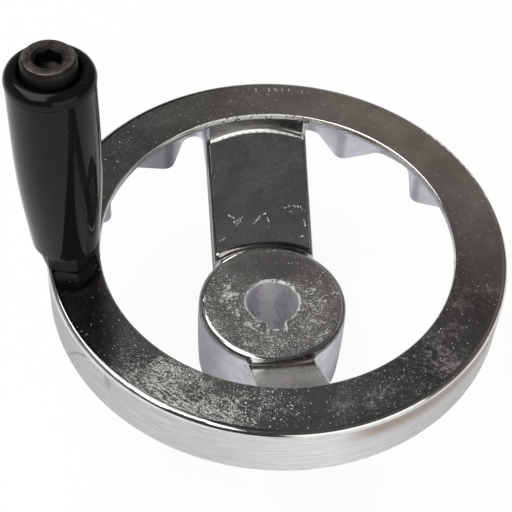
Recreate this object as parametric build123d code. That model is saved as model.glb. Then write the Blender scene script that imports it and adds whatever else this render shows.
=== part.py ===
from build123d import *
import math
import os

# A dished two-spoke machine handwheel, cast in aluminium, with a revolving handle.
# Millimetres. The wheel's axis is Z and its origin is the centre of the hub's back face,
# on which the wheel stands. The wide spoke runs towards +Y, the narrow spoke and the
# keyway towards -Y, and the handle stands on the rim at -X.

# Rim: a flat polished lip and a thin outer wall under it
rim_diameter = 125.0
rim_depth = 16.5
lip_width = 14.3
lip_thickness = 2.6
wall_thickness = 2.6
rim_outer_round = 1.5
lip_inner_round = 0.5
lip_under_round = 0.5
rim_back_round = 0.5

# Finger grips: rounded lobes under the lip, all the way round
lobe_count = 12
lobe_height = 8.3
lobe_half_angle = 51.0
lobe_tip_round = 3.2
lobe_root_round = 4.0

# Hub
hub_diameter = 42.7
hub_length = 27.0
hub_face_round = 1.8
hub_back_round = 1.0
hub_draft = 1.4
parting_depth = 7.6
dish_depth = 27.5

# Bore and keyway
bore_diameter = 15.0
bore_chamfer = 0.5
key_width = 5.0
key_height = 17.3
key_edge_break = 0.25

# Spokes: they leave the hub just under its face and climb straight to the lip's inner edge
wide_spoke_width = 30.0
narrow_spoke_width = 20.0
spoke_thickness = 7.0
spoke_top_drop = 5.6
spoke_hub_drop = 0.9
spoke_edge_round = 1.2
spoke_hub_fillet = 3.0
spoke_rim_fillet = 3.0
spoke_foot_fillet = 2.5

# Handle: an M8 socket head screw, a nut that locks it in the rim, and a grip that turns on it
handle_inset = 5.75
handle_boss_diameter = 14.0
thread_diameter = 8.0
thread_play = 0.05
thread_chamfer = 0.8
screw_head_diameter = 13.3
screw_head_height = 8.0
screw_head_face_diameter = 11.7
screw_head_crown = 1.6
screw_length = 75.0
socket_across_flats = 6.0
socket_turn = 24.0
socket_depth = 4.0
socket_countersink = 0.5
socket_drill_diameter = 5.6
drill_point_angle = 118.0
nut_across_flats = 13.0
nut_height = 6.5
nut_chamfer_angle = 30.0
nut_turn = -11.3
nut_face_step = 0.3
grip_end_play = 0.15
journal_play = 0.08
spigot_play = 0.02

# Grip, from its lower end up to the seam under the end ring
grip_length = 55.85
grip_base_diameter = 17.5
grip_low_diameter = 19.9
grip_low_height = 13.4
grip_middle_diameter = 21.06
grip_middle_height = 22.0
grip_full_diameter = 21.66
grip_full_height = 37.0
grip_top_diameter = 21.5
grip_base_round = 0.8
grip_seam_round = 0.3

# End ring: seated in the grip, with a floor that carries the screw's head
ring_height = 3.2
ring_diameter = 21.8
ring_floor_drop = 1.2
ring_recess_diameter = 15.3
ring_top_land = 0.1
ring_inner_round = 0.5
ring_floor_thickness = 2.6
ring_spigot_diameter = 17.4

# Places that follow from the sizes above
rim_radius = rim_diameter / 2
lip_radius = rim_radius - lip_width
valley_radius = rim_radius - wall_thickness
buried_radius = rim_radius - wall_thickness / 2
hub_radius = hub_diameter / 2
rim_face_z = hub_length + dish_depth
rim_back_z = rim_face_z - rim_depth
lip_back_z = rim_face_z - lip_thickness
buried_z = rim_face_z - lip_thickness / 2
slope_hub_z = hub_length - spoke_hub_drop
slope_lip_z = rim_face_z - spoke_top_drop
spoke_rise = (slope_lip_z - slope_hub_z) / (lip_radius - hub_radius)
spoke_start = hub_radius / 2
grip_base_z = rim_face_z + nut_height + grip_end_play
seam_z = grip_base_z + grip_length
ring_floor_z = seam_z - ring_floor_drop
spigot_z = ring_floor_z - ring_floor_thickness
screw_seat_z = ring_floor_z + grip_end_play
handle_place = Pos(handle_inset - rim_radius, 0, 0)


def turned(outline):
    """Turn a closed outline of radius and height once round the Z axis."""
    return revolve(Plane.XZ * make_face(outline), Axis.Z)


def edges_where(solid, wanted):
    """The solid's edges of which both ends and the middle pass the test."""
    return [
        edge
        for edge in solid.edges()
        if all(wanted(edge.position_at(share)) for share in (0.0, 0.5, 1.0))
    ]


def distance_from_axis(point):
    return math.hypot(point.X, point.Y)


def near(value, target):
    """True where two lengths are the same but for rounding."""
    return abs(value - target) < 0.01


def make_rim_shell():
    """The lip and the outer wall, as one turned angle section with rounded edges."""
    section = make_face(
        Polyline(
            (lip_radius, lip_back_z),
            (lip_radius, rim_face_z),
            (rim_radius, rim_face_z),
            (rim_radius, rim_back_z),
            (valley_radius, rim_back_z),
            (valley_radius, lip_back_z),
            close=True,
        )
    )
    rounds = {
        (lip_radius, lip_back_z): lip_under_round,
        (lip_radius, rim_face_z): lip_inner_round,
        (rim_radius, rim_face_z): rim_outer_round,
        (rim_radius, rim_back_z): rim_back_round,
    }
    for (x, z), size in rounds.items():
        corner = section.vertices().sort_by_distance(Vector(x, z, 0))[0]
        section = fillet(corner, size)
    return revolve(Plane.XZ * section, Axis.Z)


def lobe_outline():
    """One finger grip as a wedge that points at the wheel's axis, its tip still sharp."""
    half_angle = math.radians(lobe_half_angle)
    tip_loss = lobe_tip_round * (1 / math.sin(half_angle) - 1)
    tip_x = valley_radius - lobe_height - tip_loss
    half_base = (rim_radius - tip_x) * math.tan(half_angle)
    return Polygon((tip_x, 0), (rim_radius, half_base), (rim_radius, -half_base), align=None)


def make_lobes():
    """The ring of finger grips, left out where the spokes and the handle's boss stand."""
    hollow = Circle(valley_radius)
    for index in range(lobe_count):
        angle = index * 360 / lobe_count
        if near(abs(math.sin(math.radians(angle))), 1.0):
            continue
        hollow -= Rot(Z=angle) * lobe_outline()
    middle_radius = valley_radius - lobe_height / 2
    tips = [v for v in hollow.vertices() if distance_from_axis(v) < middle_radius]
    hollow = fillet(tips, lobe_tip_round)
    roots = [v for v in hollow.vertices() if near(distance_from_axis(v), valley_radius)]
    hollow = fillet(roots, lobe_root_round)
    grips = Circle(buried_radius) - hollow
    boss = handle_place * Circle(handle_boss_diameter / 2)
    grips += boss & Circle(buried_radius)
    return Pos(0, 0, rim_back_z) * extrude(grips, buried_z - rim_back_z)


def make_hub():
    """The hub before it is bored: fullest at the mould's parting line, drafted both ways."""
    draft = math.tan(math.radians(hub_draft))
    parting_z = hub_length - parting_depth
    face_radius = hub_radius - parting_depth * draft
    back_radius = hub_radius - parting_z * draft
    flank = ThreePointArc((back_radius, 0), (hub_radius, parting_z), (face_radius, hub_length))
    core = Polyline((face_radius, hub_length), (0, hub_length), (0, 0), (back_radius, 0))
    section = make_face([flank, core])
    for place, size in (
        ((back_radius, 0, 0), hub_back_round),
        ((face_radius, hub_length, 0), hub_face_round),
    ):
        corner = section.vertices().sort_by_distance(Vector(*place))[0]
        section = fillet(corner, size)
    return revolve(Plane.XZ * section, Axis.Z)


def make_spoke(width):
    """One spoke towards +Y, with the foot that fills the rim behind the lip's edge."""
    half_width = width / 2
    upright_thickness = spoke_thickness * math.hypot(1, spoke_rise)
    buried_y = lip_radius + (buried_z - slope_lip_z) / spoke_rise
    back_y = lip_radius - (slope_lip_z - upright_thickness - rim_back_z) / spoke_rise
    start_z = slope_hub_z - (hub_radius - spoke_start) * spoke_rise
    side = make_face(
        Polyline(
            (spoke_start, start_z - upright_thickness),
            (spoke_start, start_z),
            (buried_y, buried_z),
            (rim_radius, buried_z),
            (rim_radius, rim_back_z),
            (back_y, rim_back_z),
            close=True,
        )
    )
    blade = extrude(Plane.YZ * side, half_width, both=True)
    foot_plan = Pos(0, rim_radius / 2) * Rectangle(width, rim_radius) - Circle(lip_radius)
    foot = Pos(0, 0, rim_back_z) * extrude(foot_plan, buried_z - rim_back_z)
    spoke = (blade + foot) & Pos(0, 0, rim_face_z / 2) * Cylinder(buried_radius, rim_face_z)
    corner = edges_where(
        spoke, lambda p: near(distance_from_axis(p), lip_radius) and p.Z < lip_back_z
    )
    corner = [edge for edge in corner if near(edge.center().X, 0)]
    spoke = fillet(corner, spoke_rim_fillet)
    long_edges = edges_where(
        spoke,
        lambda p: near(abs(p.X), half_width) and distance_from_axis(p) < buried_radius - 0.1,
    )
    long_edges = [edge for edge in long_edges if edge.center().Y > spoke_start + 0.1]
    return fillet(long_edges, spoke_edge_round)


def blend_spoke(wheel, width, side):
    """Fillet the spoke's foot into the rim's wall, and its flanks into the hub."""

    def flank_at(low, high):
        return edges_where(
            wheel,
            lambda p: near(abs(p.X), width / 2)
            and p.Y * side > 0
            and low < distance_from_axis(p) < high,
        )

    wheel = fillet(flank_at(valley_radius - 0.01, valley_radius + 0.01), spoke_foot_fillet)
    deepest_draft = hub_length * math.tan(math.radians(hub_draft))
    hub_seam = flank_at(hub_radius - deepest_draft, hub_radius + deepest_draft)
    return fillet(hub_seam, spoke_hub_fillet)


def key_plan(width, reach):
    return Pos(0, -reach / 2) * Rectangle(width, reach)


def make_bore():
    """The shaft's hole: a chamfered bore with one keyway, cut right through."""
    bore_radius = bore_diameter / 2
    mouth_radius = bore_radius + bore_chamfer
    bore = turned(
        Polyline(
            (0, 0),
            (mouth_radius, 0),
            (bore_radius, bore_chamfer),
            (bore_radius, hub_length - bore_chamfer),
            (mouth_radius, hub_length),
            (0, hub_length),
            close=True,
        )
    )
    key_reach = key_height - bore_radius
    bore += extrude(key_plan(key_width, key_reach), hub_length)
    wide_plan = key_plan(key_width + 2 * key_edge_break, key_reach + key_edge_break)
    for height, depth in ((0, key_edge_break), (hub_length, -key_edge_break)):
        bore += extrude(Pos(0, 0, height) * wide_plan, depth, taper=45)
    return bore


def make_handle_hole():
    """The tapped hole for the handle's screw, with both mouths countersunk."""
    hole_radius = thread_diameter / 2 + thread_play
    mouth_radius = hole_radius + thread_chamfer
    return handle_place * turned(
        Polyline(
            (0, rim_back_z),
            (mouth_radius, rim_back_z),
            (hole_radius, rim_back_z + thread_chamfer),
            (hole_radius, rim_face_z - thread_chamfer),
            (mouth_radius, rim_face_z),
            (0, rim_face_z),
            close=True,
        )
    )


def make_wheel():
    """The whole casting, then its machined holes."""
    wheel = make_rim_shell() + make_lobes() + make_hub()
    wheel += make_spoke(wide_spoke_width)
    wheel += Rot(Z=180) * make_spoke(narrow_spoke_width)
    wheel = blend_spoke(wheel, wide_spoke_width, 1)
    wheel = blend_spoke(wheel, narrow_spoke_width, -1)
    return wheel - make_bore() - make_handle_hole()


def hexagon(across_flats, turn=0.0):
    return Rot(Z=turn) * RegularPolygon(across_flats / 2, 6, major_radius=False)


def make_handle_screw():
    """Socket head screw: its head holds the grip, its end is screwed into the rim."""
    shank_radius = thread_diameter / 2
    head_radius = screw_head_diameter / 2
    tip_z = screw_seat_z - screw_length
    head_top_z = screw_seat_z + screw_head_height
    screw = turned(
        Polyline(
            (0, tip_z),
            (shank_radius - thread_chamfer, tip_z),
            (shank_radius, tip_z + thread_chamfer),
            (shank_radius, screw_seat_z),
            (head_radius, screw_seat_z),
            (head_radius, head_top_z - screw_head_crown),
            (0, head_top_z - screw_head_crown),
            close=True,
        )
    )
    crown_arc = TangentArc(
        (head_radius, head_top_z - screw_head_crown),
        (screw_head_face_diameter / 2, head_top_z),
        tangent=(0, 1),
    )
    crown_core = Polyline(
        (screw_head_face_diameter / 2, head_top_z),
        (0, head_top_z),
        (0, head_top_z - screw_head_crown),
        (head_radius, head_top_z - screw_head_crown),
    )
    screw += revolve(Plane.XZ * make_face([crown_arc, crown_core]), Axis.Z)
    corner_radius = socket_across_flats / math.sqrt(3)
    mouth_radius = corner_radius + socket_countersink
    floor_z = head_top_z - socket_depth
    drill_radius = socket_drill_diameter / 2
    drill_drop = drill_radius / math.tan(math.radians(drill_point_angle / 2))
    socket_plan = hexagon(socket_across_flats, socket_turn)
    socket = extrude(Pos(0, 0, head_top_z) * socket_plan, -socket_depth)
    socket += turned(
        Polyline((0, floor_z - drill_drop), (drill_radius, floor_z), (0, floor_z), close=True)
    )
    countersink = turned(
        Polyline(
            (0, head_top_z - mouth_radius),
            (mouth_radius, head_top_z),
            (0, head_top_z),
            close=True,
        )
    )
    return handle_place * (screw - socket - countersink)


def make_lock_nut():
    """Hexagon nut on the rim's face, chamfered at both ends, which locks the screw."""
    corner_radius = nut_across_flats / math.sqrt(3)
    face_radius = nut_across_flats / 2 - nut_face_step
    chamfer_drop = (corner_radius - face_radius) * math.tan(math.radians(nut_chamfer_angle))
    hole_radius = thread_diameter / 2 + thread_play
    mouth_radius = hole_radius + thread_chamfer / 2
    envelope = turned(
        Polyline(
            (mouth_radius, 0),
            (face_radius, 0),
            (corner_radius, chamfer_drop),
            (corner_radius, nut_height - chamfer_drop),
            (face_radius, nut_height),
            (mouth_radius, nut_height),
            (hole_radius, nut_height - thread_chamfer / 2),
            (hole_radius, thread_chamfer / 2),
            close=True,
        )
    )
    nut = extrude(hexagon(nut_across_flats, nut_turn), nut_height) & envelope
    return handle_place * Pos(0, 0, rim_face_z) * nut


def make_grip():
    """The turned grip: slim at the nut, fullest in its upper half, counterbored on top."""
    journal_radius = thread_diameter / 2 + journal_play
    socket_radius = ring_spigot_diameter / 2 + spigot_play
    flank = Spline(
        (grip_base_diameter / 2, grip_base_z),
        (grip_low_diameter / 2, grip_base_z + grip_low_height),
        (grip_middle_diameter / 2, grip_base_z + grip_middle_height),
        (grip_full_diameter / 2, grip_base_z + grip_full_height),
        (grip_top_diameter / 2, seam_z),
    )
    core = Polyline(
        flank @ 1,
        (socket_radius, seam_z),
        (socket_radius, spigot_z),
        (journal_radius, spigot_z),
        (journal_radius, grip_base_z),
        flank @ 0,
    )
    grip = revolve(Plane.XZ * make_face([flank, core]), Axis.Z)
    base_edge = outer_edge(grip, grip_base_z)
    grip = fillet(base_edge, grip_base_round)
    seam_edge = outer_edge(grip, seam_z)
    return handle_place * fillet(seam_edge, grip_seam_round)


def make_end_ring():
    """The ring on the grip's end: a rounded collar round the screw's head, on a spigot."""
    outer_radius = ring_diameter / 2
    recess_radius = ring_recess_diameter / 2
    journal_radius = thread_diameter / 2 + journal_play
    spigot_radius = ring_spigot_diameter / 2
    top_z = seam_z + ring_height
    ring = turned(
        Polyline(
            (journal_radius, spigot_z),
            (spigot_radius, spigot_z),
            (spigot_radius, seam_z),
            (outer_radius, seam_z),
            (outer_radius, top_z),
            (recess_radius, top_z),
            (recess_radius, ring_floor_z),
            (journal_radius, ring_floor_z),
            close=True,
        )
    )
    outer_round = outer_radius - recess_radius - ring_top_land - ring_inner_round
    top_edges = ring.edges().group_by(Axis.Z)[-1].sort_by(SortBy.RADIUS)
    ring = fillet(top_edges[-1], outer_round)
    top_edges = ring.edges().group_by(Axis.Z)[-1].sort_by(SortBy.RADIUS)
    ring = fillet(top_edges[0], ring_inner_round)
    return handle_place * fillet(outer_edge(ring, seam_z), grip_seam_round)


def outer_edge(solid, height):
    """The widest circular edge of a turned piece at one height."""
    level = [edge for edge in solid.edges() if near(edge.center().Z, height)]
    circles = [edge for edge in level if edge.geom_type == GeomType.CIRCLE]
    return max(circles, key=lambda edge: edge.radius)


parts = {
    "wheel": make_wheel(),
    "handle_screw": make_handle_screw(),
    "lock_nut": make_lock_nut(),
    "grip": make_grip(),
    "end_ring": make_end_ring(),
}

os.makedirs("parts", exist_ok=True)
for name, part in parts.items():
    export_step(part, f"parts/{name}.step")
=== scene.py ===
import math

import bpy
from mathutils import Matrix, Vector


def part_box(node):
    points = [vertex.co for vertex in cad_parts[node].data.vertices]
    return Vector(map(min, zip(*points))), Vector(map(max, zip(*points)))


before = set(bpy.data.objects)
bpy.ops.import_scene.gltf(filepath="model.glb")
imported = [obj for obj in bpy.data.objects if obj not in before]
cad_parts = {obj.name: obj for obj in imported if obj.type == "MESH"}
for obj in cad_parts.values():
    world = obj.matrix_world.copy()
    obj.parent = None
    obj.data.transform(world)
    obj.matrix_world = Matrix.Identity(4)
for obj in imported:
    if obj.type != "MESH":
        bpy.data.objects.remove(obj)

# A dished machine handwheel: its polished, brushed and cast aluminium, its black handle, and
# the pale stage that it stands on. The frame brings the shapes and this file brings the looks.
bl_info = {
    "name": "Machine handwheel",
    "version": (1, 0, 0),
    "blender": (4, 5, 0),
    "location": "3D View > Sidebar > Handwheel",
    "description": "Dresses a dished machine handwheel and lights it on a pale stage",
    "category": "Object",
}

MM = 1000.0

# Places in metres, read from the frame
RIM_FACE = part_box("wheel")[1][2]
SCREW_LOW, SCREW_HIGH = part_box("handle_screw")
HANDLE_X = (SCREW_LOW[0] + SCREW_HIGH[0]) / 2

# The camera, in degrees and metres from the middle of the rim's face, and its lens in millimetres
VIEW_ELEVATION = math.radians(50.17)
VIEW_AZIMUTH = math.radians(-10.12)
VIEW_ROLL = math.radians(-3.99)
VIEW_DISTANCE = 0.36063
VIEW_ASIDE = 0.006017
VIEW_ABOVE = 0.004537
SENSOR_WIDTH = 36.0
LENS = 93.38
NEAREST_SEEN = 0.01

# The stage, in metres, degrees and shares of full brightness
FLOOR_HALF = 3.0
FLOOR_GLOW = 0.93
KEY_LAMP_PLACE = (-0.45, 0.0, 0.98)
KEY_LAMP_AIM = (-0.45, 0.0, 0.0)
KEY_LAMP_SIZE = (0.62, 1.2)
KEY_LAMP_TURN = math.radians(-10.0)
FRONT_LAMP_PLACE = (0.41, -0.78, 0.36)
FRONT_LAMP_AIM = (0.0, 0.0, 0.04)
FRONT_LAMP_SIZE = (0.95, 0.66)
WHITE = (1.0, 1.0, 1.0)
DOME = (0.5, 0.5, 0.515)

# The studio as the metal mirrors it. Low walls go once round the object from its left, and the
# back wall goes from the middle to the right, with one row of tones below the other.
LOW_WALLS = (
    (0.0, (0.38, 0.37, 0.38)),
    (0.06, (0.14, 0.135, 0.13)),
    (0.10, (0.05, 0.048, 0.046)),
    (0.24, (0.05, 0.048, 0.046)),
    (0.27, (0.30, 0.29, 0.28)),
    (0.42, (0.18, 0.17, 0.16)),
    (0.50, (0.13, 0.12, 0.11)),
    (0.61, (0.11, 0.095, 0.082)),
    (0.69, (0.28, 0.27, 0.26)),
    (0.80, (0.28, 0.27, 0.27)),
    (0.88, (0.22, 0.21, 0.21)),
    (1.0, (0.38, 0.37, 0.38)),
)
BACK_WALL_LOW = (
    (0.0, (0.045, 0.045, 0.045)),
    (0.07, (0.085, 0.082, 0.078)),
    (0.12, (0.118, 0.108, 0.100)),
    (0.17, (0.165, 0.143, 0.131)),
    (0.22, (0.200, 0.173, 0.155)),
    (0.35, (0.190, 0.165, 0.150)),
)
BACK_WALL_HIGH = (
    (0.0, (0.045, 0.045, 0.045)),
    (0.02, (0.052, 0.051, 0.050)),
    (0.05, (0.075, 0.073, 0.071)),
    (0.09, (0.090, 0.087, 0.085)),
    (0.14, (0.070, 0.069, 0.072)),
    (0.20, (0.048, 0.046, 0.050)),
    (0.27, (0.036, 0.034, 0.035)),
    (0.45, (0.09, 0.086, 0.082)),
)
FRONT_LEFT = (0.05, 0.048, 0.047)
FRONT_RIGHT = (0.085, 0.081, 0.081)

# Edges of the casting's surfaces, in millimetres from the wheel's axis or from the hub's back.
# A mask is 0 at the first number of a pair and 1 at the second.
RIM_TOP_HEIGHT = (RIM_FACE * MM - 1.7, RIM_FACE * MM - 1.3)
RIM_TOP_RADIUS = (47.6, 47.9)
LIP_RADIUS = 48.2
WALL_RADIUS = (61.4, 61.7)
RIM_RADIUS = 62.5
HUB_FACE = 27.0
HUB_TOP_HEIGHT = (HUB_FACE - 2.2, HUB_FACE - 1.7)
HUB_TOP_RADIUS = (22.5, 21.9)
BORE_RADIUS = (8.1, 7.9)
BORE_HEIGHT = (HUB_FACE - 0.3, HUB_FACE - 0.5)
KEYWAY_HEIGHT = (HUB_FACE - 0.1, HUB_FACE - 0.3)
MOUTH_HEIGHT = (HUB_FACE - 0.5, HUB_FACE - 0.3)

# The spokes' tops: their height at the lip, how far they fall for each millimetre inwards, the
# cosine of that slope, and the half widths of the narrow front spoke and the wide back one
SPOKE_HEIGHT = 48.9
SPOKE_FALL = 0.849
SPOKE_COSINE = 0.762
SPOKE_HALF_WIDTHS = (10.2, 15.2)
SPOKE_LENGTH = (18.0, 19.0)
SPOKE_SKIN = (-0.8, -0.5)
SPOKE_CORNER = (0.02, 0.12)

# Parts of those surfaces that keep to a ring: inner and outer radius
RIM_FLAT = (48.9, 60.6)
RIM_EDGE = (60.7, 61.25)
SPOKE_RING = (21.5, 48.25)
TICKS_RING = (58.2, 59.6)
TORN_RING = (48.0, 48.5)
MOUTH_RING = (7.5, 8.15)

# Radii at which a part of a surface fades in, from the first to the second
HUB_FLAT = (20.0, 19.4)
HUB_EDGE = (20.2, 20.6)
HUB_SIDE = (22.5, 21.5)
PAST_HUB = (22.5, 23.5)
HUB_FILLET = (27.0, 26.0)
LIP_FILLET = (43.0, 44.0)
SHORT_OF_LIP = (47.5, 46.5)
LIP_WALL = (47.7, 48.05)
OUTER_RIM = (50.0, 57.0)

# Distances to the right of the axis, to the left of it or from it either way, in the same way
LEFT_HALF = (1.0, -1.0)
HUB_SHADED_LEFT = (-2.0, -12.0)
HUB_SIDE_LEFT = (-12.0, -20.0)
HUB_SIDE_RIGHT = (12.0, 20.0)
RIM_EDGE_LEFT = (10.0, -25.0)
LIP_FILLET_RIGHT = (-1.0, 8.0)
# Where the bore's painted highlight falls, down its middle
BORE_LIT_MIDDLE = (4.5, 0.5)
SPOKE_OFF_MIDDLE = (3.0, 9.0)
SPOKE_SIDE = (11.0, 12.0)
SPOKE_EDGE = (13.5, 14.2)

# Distances behind the axis, or with a minus in front of it, in the same way
BACK_HALF = (-1.0, 1.0)
BEHIND_HUB = (15.0, 18.0)
FRONT_RIM = (5.0, -30.0)
FRONT_SPOKE = (-23.0, -26.0)
FRONT_SPOKE_TOWARDS_HUB = (-46.0, -30.0)

# Half width and reach of the keyway, and of the worn edge along its sides and its end
KEYWAY = ((-2.6, 2.6), (-10.0, -6.0))
KEYWAY_SIDES = ((2.3, 2.9), (-10.4, -7.0))
KEYWAY_END = ((2.9, 2.7), (-10.4, -9.6))

# Ways round the rim, in degrees from the right, at which its wear fades in
SCUFF_FROM_LEFT = (-144.0, -130.0)
SCUFF_FROM_FRONT = (-95.0, -130.0)
CLEAR_BY_HANDLE = (-142.0, -153.0)

# Oval areas seen from above, in millimetres: centre x and y, half width and half depth
FRONT_SCUFF = (-12.0, -53.0, 16.0, 8.0)
RIGHT_SCUFF = (30.0, -47.0, 18.0, 10.0)
BY_HANDLE = (-54.0, -10.0, 18.0, 26.0)
HUB_BACK = (1.0, 13.5, 17.0, 8.5)
HUB_RIGHT = (11.0, 2.0, 8.0, 18.0)
TORN_EDGE = (-3.0, 48.0, 26.0, 6.0)
RIM_TICKS = (8.0, 59.0, 13.0, 5.0)
# Where painted shade falls under the rim at the left back
SHADE_LEFT_BACK = (-27.0, 36.0, 22.0, 22.0)

# Bruises on the hub's top: an oval area, and how strong each is
BRUISES = (
    ((-11.5, 3.0, 3.6, 2.2), 1.0),
    ((-12.5, 6.5, 1.4, 2.0), 0.8),
    ((-10.5, -3.0, 1.0, 2.2), 0.8),
    ((-8.0, -7.5, 1.8, 1.2), 1.0),
)

# Short scratches: both ends of each, in millimetres. Those on the spokes and the hub are seen
# from above; those on the rim's wall go by the way round it and the height.
SPOKE_NICKS = (
    (-9.6, 28.9, -8.2, 28.3),
    (-8.3, 27.2, -5.6, 28.3),
    (-7.5, 26.8, -6.0, 27.5),
    (-2.7, 26.6, -0.2, 28.2),
    (0.8, 28.7, 1.5, 28.9),
    (1.8, 27.8, 2.3, 27.0),
    (0.5, 26.0, 2.2, 25.5),
    (6.9, 29.8, 9.0, 30.3),
    (8.0, 28.9, 8.9, 29.0),
    (9.5, 30.2, 12.0, 29.9),
    (12.1, 29.8, 13.1, 29.0),
    (-12.6, 23.4, -11.4, 23.8),
    (12.8, 26.9, 13.0, 25.6),
    (11.5, 23.1, 12.4, 23.3),
)
HUB_SCRATCHES = (
    (-2.3, -12.0, -1.8, -16.3),
    (-7.5, -8.5, -4.2, -11.2),
    (-10.9, -1.5, -10.2, -4.2),
    (-13.8, 4.6, -11.8, 7.0),
    (-14.5, 3.6, -9.6, 2.9),
    (0.5, -12.2, 2.3, -13.2),
    (6.4, 13.6, 9.5, 13.4),
    (9.5, 13.4, 12.0, 12.2),
)
WALL_MARKS = (
    (-172.5, 40.8, -170.7, 43.4),
    (-170.7, 43.4, -166.6, 48.7),
    (-166.6, 48.7, -162.6, 52.0),
)
WALL_SMUDGE = (-153.6, 50.0, 1.6, 3.0)

# Noise patterns of the casting: scale for each metre, detail, roughness and distortion. The
# streaks and the brushing lie on places that are stretched already, so their scale is 1.
DRIFT = (80.0, 5.0, 0.62)
CLUSTERS = (260.0, 6.0, 0.75)
MIST = (850.0, 5.0, 0.8)
FINE = (1500.0, 4.0, 0.9)
STREAKS = (1.0, 5.0, 0.75)
GRIT = (2100.0, 1.0, 0.5)
CURLS = (330.0, 1.0, 0.5, 0.6)
CURL_PATCHES = (90.0, 2.0)
SCRATCH_BREAKS = (2100.0, 2.0)
BRUISED = (900.0, 5.0, 0.85)
TORN = (1200.0, 3.0, 0.7)
TICK_BREAKS = (240.0, 1.0)
MOUTH_BREAKS = (640.0, 2.0, 0.6)
WAVES = (70.0, 2.0, 0.5)
ORANGE_PEEL = (700.0, 3.0, 0.6)
SAND_GRAIN = (2300.0, 3.0, 0.65)
CAST_MOTTLE = (180.0, 3.0, 0.6)
BRUSHING = (1.0, 4.0, 0.7)
SMEAR = (95.0, 4.0, 0.65)
TARNISH = (70.0, 6.0, 0.68)
BORE_GRAIN = (1100.0, 3.0, 0.7)
GLINT_DENSITY = 1000.0

# Noise patterns of the handle, in the same order
OXIDE_MOTTLE = (600.0, 4.0, 0.65)
OXIDE_GRAIN = (2600.0, 3.0, 0.6)
PLASTIC_SMEAR = (55.0, 4.0, 0.65)
PLASTIC_WAVES = (90.0, 2.0)
DUST_DENSITY = 420.0

# How much of each pattern an area takes, by the area's name in the casting's finish
STEADY_HAZE = {
    "front_rim": -0.012,
    "left_scuff": 0.03,
    "front_scuff": 0.03,
    "right_scuff": 0.02,
}
DRIFT_HAZE = {"flat_rim": 0.2, "front_rim": 0.5}
MIST_HAZE = {"flat_rim": 0.35, "front_rim": 0.35, "spoke_top": 0.4, "right_scuff": 0.9}
STREAK_HAZE = {"left_scuff": 0.9, "front_scuff": 0.6}
FINE_HAZE = {"left_scuff": 1.0, "front_scuff": 0.6}
GLINT_SIZE = {
    "front_rim": 0.065,
    "flat_rim": 0.004,
    "flat_hub": 0.08,
    "hub_back": -0.05,
    "left_scuff": 0.04,
    "front_scuff": 0.04,
}
GRIT_AMOUNT = {
    "left_scuff": 0.05,
    "front_scuff": 0.06,
    "flat_hub": 0.05,
    "hub_back": -0.06,
    "spoke_top": -0.06,
}

# Painted light and shade on the brushed wall: its brightness, once round the rim from its left
WALL_PAINTED_LIGHT = (
    (0.0, 0.03),
    (0.04, 0.19),
    (0.09, 0.36),
    (0.14, 0.46),
    (0.18, 0.52),
    (0.22, 0.65),
    (0.26, 0.80),
    (0.30, 0.64),
    (0.34, 0.54),
    (0.80, 0.54),
    (1.0, 0.03),
)
# A brownish band along the top of the wall at its front right: its height and its way round the rim
BROWN_BAND_HEIGHT = (46.0, 51.0)
BROWN_BAND_ROUND = (0.295, 0.5)

# The screw's head, in millimetres from its own axis and from the hub's back
HEAD_TOP = SCREW_HIGH[2] * MM
HEAD_EDGE_RADIUS = 5.85
SOCKET_EDGE_RADIUS = 3.3
HEAD_DISH = (3.6, 4.9)

# Depths of the bumps in metres, and how dull each plastic is
CAST_RELIEF = 0.00006
OXIDE_RELIEF = 0.00003
PLASTIC_RELIEF = 0.00001
GRIP_DULLNESS = 0.03
RING_DULLNESS = 0.09
PLASTIC_SPECULAR = 0.16


def opaque(colour):
    return (*colour, 1.0)


class Wire:
    """One socket of a node tree, which stands in plain sums as a number does."""

    def __init__(self, finish, socket):
        self.finish = finish
        self.socket = socket

    def maths(self, operation, *values):
        return self.finish.maths(operation, self, *values)

    def __add__(self, other):
        return self.maths("ADD", other)

    def __radd__(self, other):
        return self.maths("ADD", other)

    def __sub__(self, other):
        return self.maths("SUBTRACT", other)

    def __rsub__(self, other):
        return self.finish.maths("SUBTRACT", other, self)

    def __mul__(self, other):
        return self.maths("MULTIPLY", other)

    def __rmul__(self, other):
        return self.maths("MULTIPLY", other)

    def __pow__(self, other):
        return self.maths("POWER", other)

    def __abs__(self):
        return self.maths("ABSOLUTE")


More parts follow.
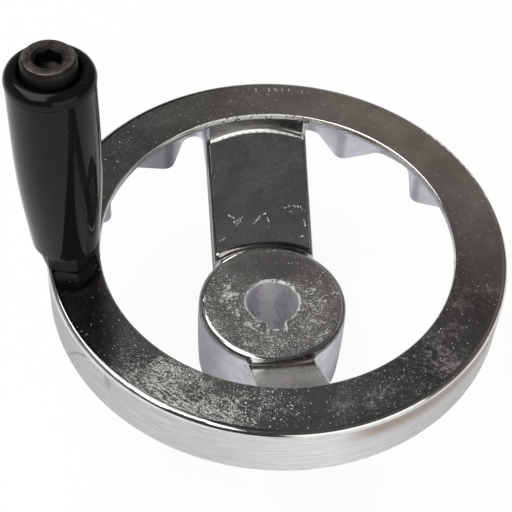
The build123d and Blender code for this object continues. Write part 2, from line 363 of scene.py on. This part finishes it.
class Finish:
    """A node tree under construction, with one method that adds any node."""

    def __init__(self, tree):
        self.tree = tree
        tree.nodes.clear()

    def add(self, kind, settings=None, inputs=None, output=0):
        node = self.tree.nodes.new(kind)
        for name, value in (settings or {}).items():
            if name == "stops":
                self.set_stops(node.color_ramp, value)
            else:
                setattr(node, name, value)
        for name, value in (inputs or {}).items():
            if isinstance(value, Wire):
                self.tree.links.new(value.socket, node.inputs[name])
            else:
                node.inputs[name].default_value = value
        if not node.outputs:
            return node
        return Wire(self, node.outputs[output])

    @staticmethod
    def set_stops(ramp, stops):
        while len(ramp.elements) < len(stops):
            ramp.elements.new(1.0)
        for element, (place, shade) in zip(ramp.elements, stops):
            element.position = place
            element.color = opaque(shade)

    def maths(self, operation, *values):
        return self.add("ShaderNodeMath", {"operation": operation}, dict(enumerate(values)))

    def clamp(self, value):
        """The value, held between 0 and 1."""
        return self.add("ShaderNodeClamp", None, {0: value})

    def smooth(self, value, low, high):
        """0 at low, 1 at high, whichever is the larger, and a smooth change between them."""
        settings = {"interpolation_type": "SMOOTHSTEP"}
        inputs = {0: value, 1: low, 2: high, 3: 0.0, 4: 1.0}
        if low > high:
            inputs = {0: value, 1: high, 2: low, 3: 1.0, 4: 0.0}
        return self.add("ShaderNodeMapRange", settings, inputs)

    def between(self, value, low, high, soft):
        """1 between low and high, with soft edges outside them."""
        return self.smooth(value, low - soft, low) * self.smooth(value, high + soft, high)

    def colour(self, factor, first, second):
        """The first colour where factor is 0, the second where it is 1."""
        first = first if isinstance(first, Wire) else opaque(first)
        second = second if isinstance(second, Wire) else opaque(second)
        inputs = {0: factor, 6: first, 7: second}
        return self.add("ShaderNodeMix", {"data_type": "RGBA"}, inputs, 2)

    def number(self, factor, first, second):
        """The first number where factor is 0, the second where it is 1."""
        return self.add("ShaderNodeMix", {"data_type": "FLOAT"}, {0: factor, 2: first, 3: second})

    def ramp(self, value, stops):
        """The colour that the stops give at a value from 0 to 1."""
        return self.add("ShaderNodeValToRGB", {"stops": stops}, {0: value})

    def place(self):
        """The point on the piece, in metres, as a vector."""
        return self.add("ShaderNodeTexCoord", output=3)

    def parts(self, vector):
        """The three numbers of a vector."""
        return [self.add("ShaderNodeSeparateXYZ", None, {0: vector}, axis) for axis in range(3)]

    def stretch(self, vector, scale):
        return self.add("ShaderNodeVectorMath", {"operation": "MULTIPLY"}, {0: vector, 1: scale})

    def join(self, x, y, z):
        return self.add("ShaderNodeCombineXYZ", None, {0: x, 1: y, 2: z})

    def noise(self, vector, scale, detail=2.0, roughness=0.5, distortion=0.0):
        inputs = {
            "Vector": vector,
            "Scale": scale,
            "Detail": detail,
            "Roughness": roughness,
            "Distortion": distortion,
        }
        return self.add("ShaderNodeTexNoise", None, inputs)

    def cells(self, vector, scale, output=0):
        """Scattered points: the distance to the nearest, or with output 1 its own colour."""
        return self.add("ShaderNodeTexVoronoi", None, {"Vector": vector, "Scale": scale}, output)

    def most(self, *values):
        """The largest of several values."""
        largest = values[0]
        for value in values[1:]:
            largest = self.maths("MAXIMUM", largest, value)
        return largest

    def spot(self, x, y, area):
        """1 near the middle of an oval area, falling smoothly to 0 at its edge."""
        centre_x, centre_y, half_x, half_y = area
        across = (x - centre_x) * (1 / half_x)
        up = (y - centre_y) * (1 / half_y)
        return self.smooth(across * across + up * up, 1.0, 0.1)

    def pits(self, place, density, gate):
        """1 in scattered spots of many sizes; a larger gate makes them larger."""
        distance = self.cells(place, density)
        size = self.parts(self.cells(place, density, 1))[0] ** 3.0
        return self.smooth(distance - gate * size * 2.0, 0.05, 0.0)

    def contour(self, value, level, width):
        """1 along the thin line where a value passes a level."""
        return self.smooth(abs(value - level), width, width * 0.4)

    def strokes(self, x, y, lines, width):
        """1 along short straight lines, each given by its two ends in millimetres."""
        nearest = None
        for start_x, start_y, end_x, end_y in lines:
            run = end_x - start_x
            rise = end_y - start_y
            from_x = x - start_x
            from_y = y - start_y
            along = (from_x * run + from_y * rise) * (1 / (run * run + rise * rise))
            along = self.clamp(along)
            gap_x = from_x - along * run
            gap_y = from_y - along * rise
            gap = self.maths("SQRT", gap_x * gap_x + gap_y * gap_y)
            nearest = gap if nearest is None else self.maths("MINIMUM", nearest, gap)
        return self.smooth(nearest, width, width * 0.4)

    def bump(self, height, distance):
        inputs = {"Height": height, "Distance": distance, "Strength": 1.0}
        return self.add("ShaderNodeBump", None, inputs)

    def surface(self, inputs):
        shader = self.add("ShaderNodeBsdfPrincipled", None, inputs)
        self.add("ShaderNodeOutputMaterial", None, {"Surface": shader})


class Casting(Finish):
    """The wheel's finish. A mask is 1 on its surface or area, 0 off it and soft between."""

    def __init__(self, tree, looks):
        super().__init__(tree)
        self.looks = looks
        self.here = self.place()
        self.x, self.y, self.z = self.parts(self.stretch(self.here, (MM, MM, MM)))
        self.radius = self.maths("SQRT", self.x * self.x + self.y * self.y)
        self.around = self.maths("ARCTAN2", self.y, self.x)
        self.mist = self.noise(self.here, *MIST)
        self.fine = self.noise(self.here, *FINE)
        brushed = self.join(self.around * 9.0, self.radius, self.z * 2.4)
        self.brushing = self.noise(brushed, *BRUSHING)
        self.mask_surfaces()
        self.mask_areas()
        self.mouth = self.worn_mouth()
        self.torn_edge = self.torn_lip()
        self.wear_and_painted_light = self.all_wear_and_painted_light()

    def mask_surfaces(self):
        """The polished tops, the rim's brushed wall and the bore; the rest is cast skin."""
        self.rim_top = self.smooth(self.z, *RIM_TOP_HEIGHT)
        self.rim_top = self.rim_top * self.smooth(self.radius, *RIM_TOP_RADIUS)
        self.hub_top = self.smooth(self.z, *HUB_TOP_HEIGHT)
        self.hub_top = self.hub_top * self.smooth(self.radius, *HUB_TOP_RADIUS)
        self.at_back = self.smooth(self.y, *BACK_HALF)
        slope = SPOKE_HEIGHT - (LIP_RADIUS - abs(self.y)) * SPOKE_FALL
        self.over_spoke = (self.z - slope) * SPOKE_COSINE
        half_width = self.number(self.at_back, *SPOKE_HALF_WIDTHS)
        on_spoke = self.smooth(abs(self.x) - half_width, 0.5, 0.0)
        on_spoke = on_spoke * self.smooth(abs(self.y), *SPOKE_LENGTH)
        on_spoke = on_spoke * self.between(self.radius, *SPOKE_RING, 0.1)
        self.spoke_top = self.smooth(self.over_spoke, *SPOKE_SKIN) * on_spoke
        tops = self.most(self.rim_top, self.hub_top, self.spoke_top)
        bore = self.smooth(self.radius, *BORE_RADIUS) * self.smooth(self.z, *BORE_HEIGHT)
        across, along = KEYWAY
        keyway = self.between(self.x, *across, 0.1) * self.between(self.y, *along, 0.1)
        self.bore = self.most(bore, keyway * self.smooth(self.z, *KEYWAY_HEIGHT))
        self.polished = tops * (1 - self.bore)
        self.wall = self.smooth(self.radius, *WALL_RADIUS) * (1 - self.rim_top)

    def mask_areas(self):
        """Areas of the polished tops that are worn, or kept clear, in their own way."""
        degrees = self.around * (180 / math.pi)
        self.flat_hub = self.hub_top * self.smooth(self.radius, *HUB_FLAT)
        self.hub_edge = self.hub_top * self.smooth(self.radius, *HUB_EDGE)
        self.hub_back = self.over(HUB_BACK) * self.flat_hub
        self.flat_rim = self.rim_top * self.between(self.radius, *RIM_FLAT, 0.4)
        self.front_rim = self.smooth(self.y, *FRONT_RIM) * self.flat_rim
        left = self.smooth(degrees, *SCUFF_FROM_LEFT) * self.smooth(degrees, *SCUFF_FROM_FRONT)
        outwards = 0.6 + 0.4 * self.smooth(self.radius, *OUTER_RIM)
        self.left_scuff = left * outwards * self.flat_rim
        self.front_scuff = self.over(FRONT_SCUFF) * self.flat_rim
        self.right_scuff = self.over(RIGHT_SCUFF) * self.flat_rim
        beside = self.most(self.over(BY_HANDLE), self.smooth(degrees, *CLEAR_BY_HANDLE))
        self.by_handle = beside * self.flat_rim

    def over(self, area):
        """An oval area of the wheel, seen from above."""
        return self.spot(self.x, self.y, area)

    def weigh(self, weights):
        """The sum of the named masks, each times its weight."""
        return sum(getattr(self, name) * weight for name, weight in weights.items())

    def patches(self, pattern, low, high):
        """0 where a noise pattern is below low, 1 where it is above high."""
        return self.smooth(self.noise(self.here, *pattern), low, high)

    def haze_and_painted_light(self):
        """A mottled veil on the polish, streaked where it is scuffed and grainy on the hub; it also
        carries painted shade on the hub's left and a painted highlight on the front spoke.
        """
        drift = self.noise(self.here, *DRIFT)
        slant = self.join((self.x - self.y) * 0.2, (self.x + self.y) * 1.1, self.z * 0.4)
        streaks = self.noise(slant, *STREAKS)
        haze_and_painted_light = (drift - 0.53) * self.weigh(DRIFT_HAZE) + self.weigh(STEADY_HAZE)
        haze_and_painted_light = haze_and_painted_light + (self.mist - 0.5) * self.weigh(MIST_HAZE)
        haze_and_painted_light = haze_and_painted_light + (streaks - 0.5) * self.weigh(STREAK_HAZE)
        haze_and_painted_light = haze_and_painted_light + (self.fine - 0.5) * self.weigh(FINE_HAZE)

        clusters = self.patches(CLUSTERS, 0.52, 0.66)
        hub_haze = 0.02 + (self.fine - 0.5) * (1.3 + 3.4 * clusters)
        # Painted shade: the hub is made darker towards its left.
        hub_haze = hub_haze - 0.02 * self.smooth(self.x, *HUB_SHADED_LEFT) + (drift - 0.5) * 0.5
        haze_and_painted_light = haze_and_painted_light + hub_haze * (self.flat_hub - 0.75 * self.hub_back)

        # Painted highlight: the front spoke is lightened towards the hub and away from its middle.
        front_spoke = self.spoke_top * self.smooth(self.y, *FRONT_SPOKE)
        lit_towards_hub = 0.27 * self.smooth(self.y, *FRONT_SPOKE_TOWARDS_HUB)
        lit_towards_sides = 0.10 * self.smooth(abs(self.x + 1.0), *SPOKE_OFF_MIDDLE)
        haze_and_painted_light = haze_and_painted_light + front_spoke * (lit_towards_hub + lit_towards_sides)
        return self.clamp(haze_and_painted_light * (1 - 0.8 * self.by_handle))

    def glints(self):
        """Scattered pinpricks, larger at the front of the rim and on the hub."""
        gate = self.weigh(GLINT_SIZE) * (1 - self.by_handle)
        return self.pits(self.here, GLINT_DENSITY, gate)

    def grit(self):
        """The finest specks, thickest in the scuffs."""
        return self.smooth(self.noise(self.here, *GRIT) + self.weigh(GRIT_AMOUNT), 0.74, 0.80)

    def curls(self):
        """Hair-thin curly lines on the hub, most of them on its right."""
        lines = self.contour(self.noise(self.here, *CURLS), 0.5, 0.010)
        lines = lines * self.patches(CURL_PATCHES, 0.50, 0.6)
        return lines * (0.25 + 0.75 * self.over(HUB_RIGHT)) * self.flat_hub

    def scratches(self):
        """Broken short scratches on the spokes and the hub."""
        on_spokes = self.strokes(self.x, self.y, SPOKE_NICKS, 0.3) * self.spoke_top
        on_hub = self.strokes(self.x, self.y, HUB_SCRATCHES, 0.22) * self.flat_hub
        return self.most(on_spokes, on_hub) * self.patches(SCRATCH_BREAKS, 0.50, 0.62)

    def bruises(self):
        """Rough pale patches on the hub's left."""
        places = self.most(*(self.over(area) * strength for area, strength in BRUISES))
        return places * self.patches(BRUISED, 0.46, 0.66)

    def torn_lip(self):
        """The torn bright line along the lip's inner edge at the back."""
        line = self.between(self.radius, *TORN_RING, 0.12) * self.over(TORN_EDGE) * self.rim_top
        return line * self.patches(TORN, 0.40, 0.47)

    def ticks(self):
        """A row of small tool marks near the rim's outer edge at the back."""
        steps = self.around * 30.0
        marks = self.contour(steps - self.maths("FLOOR", steps), 0.5, 0.12)
        marks = marks * self.between(self.radius, *TICKS_RING, 0.2) * self.over(RIM_TICKS)
        return marks * self.patches(TICK_BREAKS, 0.42, 0.5)

    def worn_mouth(self):
        """The ragged bright edge round the bore and its keyway."""
        across, along = KEYWAY_SIDES
        sides = self.between(abs(self.x), *across, 0.1) * self.between(self.y, *along, 0.1)
        across, along = KEYWAY_END
        end = self.smooth(abs(self.x), *across) * self.between(self.y, *along, 0.1)
        mouth = self.most(self.between(self.radius, *MOUTH_RING, 0.1), sides, end)
        return mouth * self.smooth(self.z, *MOUTH_HEIGHT) * self.patches(MOUTH_BREAKS, 0.40, 0.54)

    def all_wear_and_painted_light(self):
        """Everything that breaks the polish, each kind at its own strength, with the painted light
        and shade that the veil carries.
        """
        wear_and_painted_light = self.most(
            self.haze_and_painted_light(),
            self.glints() * 0.6,
            self.mouth * 0.9,
            self.grit() * 0.75,
            self.curls() * 0.6,
            self.scratches() * 0.7,
            self.bruises() * 0.95,
            self.torn_edge,
            self.ticks() * 0.5,
        )
        return wear_and_painted_light * self.most(self.polished, self.mouth)

    def cast_colour(self):
        """Mottled cast skin, with painted shade on the hub's sides, the wide spoke's left side and
        the rim beside it at the left back.
        """
        looks = self.looks
        mottle = self.patches(CAST_MOTTLE, 0.35, 0.7)
        colour = self.colour(mottle, looks.cast_dark, looks.cast_light)
        hub_side = self.smooth(self.radius, *HUB_SIDE)
        spoke_side = self.smooth(abs(self.x), *SPOKE_SIDE) * self.smooth(self.x, *LEFT_HALF)
        spoke_side = spoke_side * self.smooth(self.radius, *PAST_HUB)
        spoke_side = spoke_side * self.smooth(self.radius, *SHORT_OF_LIP)
        spoke_side = spoke_side * self.smooth(self.y, *BEHIND_HUB)
        # Painted shade: the hub's sides, the rim's underside at the left back and the wide spoke's
        # left side are darkened towards the shade colour.
        painted_shade = self.most(
            self.smooth(self.x, *HUB_SIDE_LEFT) * hub_side * 0.45,
            self.smooth(self.x, *HUB_SIDE_RIGHT) * hub_side * 0.45,
            self.over(SHADE_LEFT_BACK) * 0.75,
            spoke_side * 0.9,
        )
        return self.colour(painted_shade, colour, looks.cast_shade)

    def polish_colour(self):
        """Bright polish, darkened as painted shade in the spokes' corners and along the edges of
        the hub, the spokes and the rim's left, darker at the hub's back, and tarnished in slow
        clouds.
        """
        looks = self.looks
        lip_wall = self.smooth(self.radius, *LIP_WALL) * self.spoke_top
        in_corner = self.smooth(self.over_spoke, *SPOKE_CORNER) * self.spoke_top
        by_hub = self.smooth(self.radius, *HUB_FILLET) * in_corner
        by_hub = by_hub * self.number(self.at_back, 0.1, 1.0)
        by_lip = self.smooth(self.radius, *LIP_FILLET) * in_corner
        by_lip = by_lip * self.smooth(self.x, *LIP_FILLET_RIGHT)
        spoke_edge = self.smooth(abs(self.x), *SPOKE_EDGE) * self.spoke_top
        rim_edge = self.rim_top * self.between(self.radius, *RIM_EDGE, 0.15)
        rim_edge = rim_edge * self.smooth(self.x, *RIM_EDGE_LEFT)
        # Painted shade in the corners by the hub and the lip and along the edge rounds, darker at
        # the hub's back, with real tarnish clouds as well.
        shade_and_tarnish = self.most(
            rim_edge * (0.5 + 0.8 * self.mist),
            self.hub_edge * (0.4 + 0.9 * self.mist),
            lip_wall * 0.65,
            by_hub * 0.95,
            by_lip * 0.7,
            spoke_edge * 0.7,
            self.patches(TARNISH, 0.35, 0.68) * 0.3,
            self.hub_back * 0.3,
        )
        colour = self.colour(shade_and_tarnish, looks.polish, looks.shade_and_tarnish)
        return self.colour(self.wear_and_painted_light, colour, looks.speck_and_painted_light)

    def wall_colour(self):
        """Brushed metal with painted light and shade that change round the rim, a brownish band and
        two marks.
        """
        looks = self.looks
        turn = self.around * (0.5 / math.pi) + 0.5
        stops = [(place, (tone, tone, tone)) for place, tone in WALL_PAINTED_LIGHT]
        # Painted light and shade round the rim, with the brushing's grain on top
        tone = self.parts(self.ramp(turn, stops))[0] + 0.9 * (self.brushing - 0.5)
        colour = self.colour(tone, looks.wall_shade_and_marks, looks.wall_lit)
        brown_band = self.smooth(self.z, *BROWN_BAND_HEIGHT) * self.between(turn, *BROWN_BAND_ROUND, 0.03)
        colour = self.colour(brown_band * (0.75 + 0.4 * self.brushing), colour, looks.wall_brown)
        arc = self.around * RIM_RADIUS
        marks = self.strokes(arc, self.z, WALL_MARKS, 0.55) * 0.75
        smudge = self.spot(arc, self.z, WALL_SMUDGE) * self.smooth(self.fine, 0.35, 0.6) * 0.8
        return self.colour(self.most(marks, smudge), colour, looks.wall_shade_and_marks)

    def bore_colour(self):
        """Pale metal with fine grains drawn out along the bore, and a painted highlight down its
        middle.
        """
        grain = self.noise(self.stretch(self.here, (1.0, 1.0, 0.35)), *BORE_GRAIN)
        # Painted highlight: lighter down the middle of the bore
        tone = 0.2 + 2.6 * (grain - 0.5) + self.smooth(abs(self.x), *BORE_LIT_MIDDLE) * 0.9
        return self.colour(self.clamp(tone), self.looks.bore_dark, self.looks.bore_pale_and_lit)

    def base_colour(self):
        """Each surface in its own colour."""
        colour = self.colour(self.polished, self.cast_colour(), self.polish_colour())
        colour = self.colour(self.wall, colour, self.wall_colour())
        return self.colour(self.bore, colour, self.bore_colour())

    def roughness(self):
        """Smooth on the polish, rougher where it is worn, roughest on the cast skin."""
        smear = self.noise(self.here, *SMEAR)
        polish = 0.06 + 0.12 * smear + 0.08 * self.flat_hub + 0.1 * self.hub_edge
        cast = 0.4 + 0.2 * self.noise(self.here, *CAST_MOTTLE)
        rough = self.number(self.polished, cast, self.number(self.wear_and_painted_light, polish, 0.5))
        rough = self.number(self.wall, rough, 0.3 + 0.12 * self.brushing)
        return self.number(self.bore, rough, 0.42)

    def relief(self):
        """Grain in the cast skin, brush strokes on the wall, slow waves and dents in the polish."""
        skin = (1 - self.polished) * (1 - self.wall)
        height = self.noise(self.here, *SAND_GRAIN) * skin * 0.9
        height = height + self.wall * self.brushing * 0.35
        height = height + self.polished * self.noise(self.here, *WAVES) * 0.8
        peel = self.polished * self.noise(self.here, *ORANGE_PEEL)
        height = height + peel * (0.1 + 0.3 * self.flat_hub + 0.3 * self.left_scuff)
        return self.bump(height - 0.6 * self.wear_and_painted_light, CAST_RELIEF)

    def finish_surface(self):
        """Bare metal, less of a mirror where it is worn and in the bore."""
        self.surface({
            "Base Color": self.base_colour(),
            "Metallic": 1.0 - 0.6 * self.wear_and_painted_light - 0.6 * self.bore + 0.3 * self.torn_edge,
            "Roughness": self.roughness(),
            "Normal": self.relief(),
        })


def new_material(name):
    material = bpy.data.materials.new(name)
    material.use_nodes = True
    return material


def dress(node, material):
    """Give a node of the frame one material."""
    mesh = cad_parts[node].data
    mesh.materials.clear()
    mesh.materials.append(material)


def aluminium_finish(name, looks):
    """Cast grey all over, polished on the top faces and brushed round the rim's wall."""
    material = new_material(name)
    Casting(material.node_tree, looks).finish_surface()
    return material


def plastic_finish(name, looks, dullness):
    """Glossy black plastic with a little dust."""
    material = new_material(name)
    finish = Finish(material.node_tree)
    place = finish.place()
    dust = finish.smooth(finish.cells(place, DUST_DENSITY), 0.07, 0.03)
    smear = finish.noise(place, *PLASTIC_SMEAR)
    finish.surface({
        "Base Color": finish.colour(dust * 0.5, looks.plastic, looks.dust),
        "Roughness": dullness + 0.08 * smear + 0.3 * dust,
        "Specular IOR Level": PLASTIC_SPECULAR,
        "Normal": finish.bump(finish.noise(place, *PLASTIC_WAVES), PLASTIC_RELIEF),
    })
    return material


def worn_head(finish, place, mottle):
    """How worn the screw's head is along its edges, with the front of its top edge also standing
    for a painted highlight, and how much painted sheen lightens its top.
    """
    x, y, z = finish.parts(finish.stretch(place, (MM, MM, MM)))
    from_axis = finish.maths("SQRT", (x - HANDLE_X * MM) ** 2.0 + y * y)
    # Worn to bare steel along the top edge, kept to the front, where the wear also paints the
    # edge's highlight.
    edge = finish.smooth(abs(from_axis - HEAD_EDGE_RADIUS), 0.28, 0.05)
    edge = edge * finish.between(z, HEAD_TOP - 0.5, HEAD_TOP + 0.1, 0.1)
    edge = edge * finish.smooth(mottle, 0.4, 0.55) * finish.smooth(y, 3.0, -2.0)
    socket = finish.smooth(abs(from_axis - SOCKET_EDGE_RADIUS), 0.3, 0.1)
    socket = socket * finish.smooth(z, HEAD_TOP - 0.7, HEAD_TOP - 0.3)
    worn = finish.most(edge * 0.25, socket * 0.1)
    dish = finish.between(from_axis, *HEAD_DISH, 0.3)
    dish = dish * finish.smooth(z, HEAD_TOP - 0.3, HEAD_TOP - 0.1)
    # Painted sheen: the head's top is lighter than its sides, less so on a ring round the socket.
    top = finish.smooth(z, HEAD_TOP - 0.35, HEAD_TOP - 0.05)
    thin = top * (0.28 + 0.3 * finish.smooth(mottle, 0.35, 0.65)) - 0.2 * dish
    return worn, thin


def oxide_finish(name, looks, head=False):
    """Black oxide on steel, thin in patches; a head is worn along its edges as well, and its top is
    lightened by a painted sheen.
    """
    material = new_material(name)
    finish = Finish(material.node_tree)
    place = finish.place()
    mottle = finish.noise(place, *OXIDE_MOTTLE)
    grain = finish.noise(place, *OXIDE_GRAIN)
    worn = finish.smooth(mottle, 0.66, 0.8) * 0.25
    tone = 0.06 * finish.smooth(mottle, 0.3, 0.7)
    if head:
        head_worn, head_sheen = worn_head(finish, place, mottle)
        worn = finish.most(worn, head_worn)
        tone = tone + head_sheen
    colour = finish.colour(tone, looks.oxide, looks.oxide_thin_and_sheen)
    finish.surface({
        "Base Color": finish.colour(worn, colour, looks.bare_steel),
        "Metallic": 0.85,
        "Roughness": 0.42 + 0.14 * grain - 0.12 * worn,
        "Normal": finish.bump(grain + mottle, OXIDE_RELIEF),
    })
    return material


def tint(name, words, default):
    return bpy.props.FloatVectorProperty(
        name=name, description=words, subtype="COLOR", size=3, min=0.0, max=1.0, default=default
    )


class WheelLooks(bpy.types.PropertyGroup):
    """Colours of the aluminium casting."""

    cast_dark: tint("Cast, dark", "Darker patches of the cast skin", (0.66, 0.65, 0.69))
    # Painted shade on the hub's sides, the wide spoke's left side and the rim at the left back
    cast_shade: tint("Cast, dim", "Dull sides of the hub and the wide spoke", (0.20, 0.19, 0.21))
    cast_light: tint("Cast, light", "Lighter patches of the cast skin", (0.80, 0.785, 0.82))
    polish: tint("Polish", "The polished top faces", (0.78, 0.77, 0.745))
    # Painted shade for the polish's corners and edges, and the colour of its tarnish
    shade_and_tarnish: tint("Dull polish", "Corners that the polish did not reach", (0.09, 0.085, 0.08))
    # Wear in the polish, and the painted highlight on the front spoke
    speck_and_painted_light: tint("Wear", "Scratches and dents in the polish", (0.80, 0.80, 0.77))
    bore_dark: tint("Bore, dark", "Darker grains of the bore and its keyway", (0.58, 0.56, 0.59))
    # Lighter grains of the bore, and its painted highlight down the middle
    bore_pale_and_lit: tint("Bore, light", "Lighter grains of the bore and its keyway", (0.98, 0.96, 0.98))
    # Painted shade on the wall, and the colour of its marks and smudge
    wall_shade_and_marks: tint("Wall, dark", "Dullest part of the brushed rim wall", (0.20, 0.19, 0.20))
    # Painted light on the wall
    wall_lit: tint("Wall, light", "Brightest part of the brushed rim wall", (0.88, 0.865, 0.86))
    # Brownish band near the top of the rim wall at its front right
    wall_brown: tint("Wall, brown", "Browned band along the rim wall's edge", (0.36, 0.30, 0.26))


class HandleLooks(bpy.types.PropertyGroup):
    """Colours of the handle."""

    plastic: tint("Plastic", "The grip's and the end ring's plastic", (0.006, 0.0052, 0.006))
    dust: tint("Dust", "Specks of dust on the plastic", (0.16, 0.13, 0.12))
    oxide: tint("Oxide", "The black oxide on the screw and the nut", (0.018, 0.0165, 0.0155))
    # Patches where the oxide is thin, and the painted sheen on the screw head's top
    oxide_thin_and_sheen: tint("Oxide, thin", "Patches where the oxide is thin", (0.16, 0.145, 0.13))
    bare_steel: tint("Bare steel", "Steel where the oxide is worn off", (0.6, 0.57, 0.52))


class StageLooks(bpy.types.PropertyGroup):
    """The pale stage and its light."""

    floor: tint("Floor", "The floor's colour", (0.88, 0.88, 0.88))
    key_power: bpy.props.FloatProperty(
        name="Key power",
        description="Power of the key lamp",
        default=9.0,
        min=0.0,
        unit="POWER",
    )
    front_power: bpy.props.FloatProperty(
        name="Front power",
        description="Power of the front lamp",
        default=2.4,
        min=0.0,
        unit="POWER",
    )


class HANDWHEEL_OT_wheel(bpy.types.Operator):
    """Give the casting its cast, polished and brushed surfaces"""

    bl_idname = "handwheel.wheel"
    bl_label = "Finish the wheel"

    def execute(self, context):
        dress("wheel", aluminium_finish("cast_aluminium", context.scene.wheel_looks))
        return {"FINISHED"}


class HANDWHEEL_OT_handle(bpy.types.Operator):
    """Give the screw, nut, grip and end ring their surfaces"""

    bl_idname = "handwheel.handle"
    bl_label = "Finish the handle"

    def execute(self, context):
        looks = context.scene.handle_looks
        dress("grip", plastic_finish("grip_plastic", looks, GRIP_DULLNESS))
        dress("end_ring", plastic_finish("ring_plastic", looks, RING_DULLNESS))
        dress("handle_screw", oxide_finish("screw_oxide", looks, head=True))
        dress("lock_nut", oxide_finish("nut_oxide", looks))
        return {"FINISHED"}


def stage_floor(colour):
    """A wide pale floor that glows almost white to the camera and still takes a soft shadow."""
    mesh = bpy.data.meshes.new("stage_floor")
    sides = [(-1, -1), (1, -1), (1, 1), (-1, 1)]
    outline = [(x * FLOOR_HALF, y * FLOOR_HALF, 0.0) for x, y in sides]
    mesh.from_pydata(outline, [], [(0, 1, 2, 3)])
    floor = bpy.data.objects.new("stage_floor", mesh)
    bpy.context.scene.collection.objects.link(floor)
    material = new_material("stage_floor")
    finish = Finish(material.node_tree)
    seen = finish.add("ShaderNodeLightPath", output=0) * FLOOR_GLOW
    diffuse = finish.add("ShaderNodeBsdfDiffuse", None, {"Color": opaque(colour)})
    glow = finish.add("ShaderNodeEmission", None, {"Color": opaque(WHITE), "Strength": 1.0})
    mixed = finish.add("ShaderNodeMixShader", None, {0: seen, 1: diffuse, 2: glow})
    finish.add("ShaderNodeOutputMaterial", None, {"Surface": mixed})
    mesh.materials.append(material)


def soft_lamp(name, place, aim, size, power, turn=0.0):
    """A rectangular lamp at a place, shining at its aim and turned about that line."""
    data = bpy.data.lights.new(name, "AREA")
    data.shape = "RECTANGLE"
    data.size, data.size_y = size
    data.energy = power
    lamp = bpy.data.objects.new(name, data)
    lamp.location = place
    lamp.rotation_euler = (Vector(aim) - Vector(place)).to_track_quat("-Z", "Y").to_euler()
    lamp.rotation_euler.rotate_axis("Z", turn)
    bpy.context.scene.collection.objects.link(lamp)


def mirrored_room(finish):
    """The studio by direction: low walls all round, and higher up a front and a back."""
    x, y, height = finish.parts(finish.add("ShaderNodeTexCoord", output=0))
    around = finish.maths("ARCTAN2", y, x) * (0.5 / math.pi) + 0.5
    low = finish.ramp(around, LOW_WALLS)
    back_low = finish.ramp(x, BACK_WALL_LOW)
    back_high = finish.ramp(x, BACK_WALL_HIGH)
    back = finish.colour(finish.smooth(height, 0.69, 0.79), back_low, back_high)
    front = finish.colour(finish.smooth(x, -0.3, 0.1), FRONT_LEFT, FRONT_RIGHT)
    high = finish.colour(finish.smooth(y, 0.1, 0.3), front, back)
    return finish.colour(finish.smooth(height, 0.48, 0.60), low, high)


def stage_world():
    """White to the camera, an even dome to matt surfaces, and the studio in reflections."""
    world = bpy.data.worlds.new("studio")
    bpy.context.scene.world = world
    world.use_nodes = True
    finish = Finish(world.node_tree)
    camera_ray = finish.add("ShaderNodeLightPath", output=0)
    glossy_ray = finish.add("ShaderNodeLightPath", output=3)
    colour = finish.colour(glossy_ray, DOME, mirrored_room(finish))
    colour = finish.colour(camera_ray, colour, WHITE)
    background = finish.add("ShaderNodeBackground", None, {"Color": colour, "Strength": 1.0})
    finish.add("ShaderNodeOutputWorld", None, {"Surface": background})


def stage_camera():
    """The camera, turned about three axes and set back from the middle of the rim's face."""
    scene = bpy.context.scene
    data = bpy.data.cameras.new("camera")
    data.sensor_width = SENSOR_WIDTH
    data.lens = LENS
    data.clip_start = NEAREST_SEEN
    camera = bpy.data.objects.new("camera", data)
    scene.collection.objects.link(camera)
    level = Matrix.Rotation(VIEW_ELEVATION - math.pi / 2, 3, "X")
    roll = Matrix.Rotation(VIEW_ROLL, 3, "Z")
    turn = Matrix.Rotation(VIEW_AZIMUTH, 3, "Z")
    axes = turn @ level.transposed() @ roll.transposed()
    place = axes @ Vector((-VIEW_ASIDE, -VIEW_ABOVE, VIEW_DISTANCE)) + Vector((0, 0, RIM_FACE))
    camera.matrix_world = Matrix.Translation(place) @ axes.to_4x4()
    scene.camera = camera


class HANDWHEEL_OT_stage(bpy.types.Operator):
    """Build the floor, the soft lamps, the surroundings and the camera"""

    bl_idname = "handwheel.stage"
    bl_label = "Set the stage"

    def execute(self, context):
        looks = context.scene.stage_looks
        stage_floor(looks.floor)
        stage_world()
        soft_lamp(
            "key_lamp", KEY_LAMP_PLACE, KEY_LAMP_AIM, KEY_LAMP_SIZE, looks.key_power, KEY_LAMP_TURN
        )
        soft_lamp(
            "front_lamp", FRONT_LAMP_PLACE, FRONT_LAMP_AIM, FRONT_LAMP_SIZE, looks.front_power
        )
        stage_camera()
        context.scene.view_settings.view_transform = "Standard"
        return {"FINISHED"}


class HANDWHEEL_PT_panel(bpy.types.Panel):
    """Lists the handwheel's operators and looks"""

    bl_idname = "HANDWHEEL_PT_panel"
    bl_label = "Handwheel"
    bl_space_type = "VIEW_3D"
    bl_region_type = "UI"
    bl_category = "Handwheel"

    def draw(self, context):
        column = self.layout.column()
        for operator in OPERATORS:
            column.operator(operator.bl_idname)
        for group in LOOKS:
            looks = getattr(context.scene, group)
            for name in looks.__annotations__:
                column.prop(looks, name)


LOOKS = {"wheel_looks": WheelLooks, "handle_looks": HandleLooks, "stage_looks": StageLooks}
OPERATORS = (HANDWHEEL_OT_wheel, HANDWHEEL_OT_handle, HANDWHEEL_OT_stage)
CLASSES = (*LOOKS.values(), *OPERATORS, HANDWHEEL_PT_panel)


def register():
    for item in CLASSES:
        bpy.utils.register_class(item)
    for name, group in LOOKS.items():
        setattr(bpy.types.Scene, name, bpy.props.PointerProperty(type=group))


def unregister():
    for name in LOOKS:
        delattr(bpy.types.Scene, name)
    for item in reversed(CLASSES):
        bpy.utils.unregister_class(item)


def main():
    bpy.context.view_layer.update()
    register()
    bpy.ops.handwheel.wheel()
    bpy.ops.handwheel.handle()
    bpy.ops.handwheel.stage()


if __name__ == "__main__":
    main()
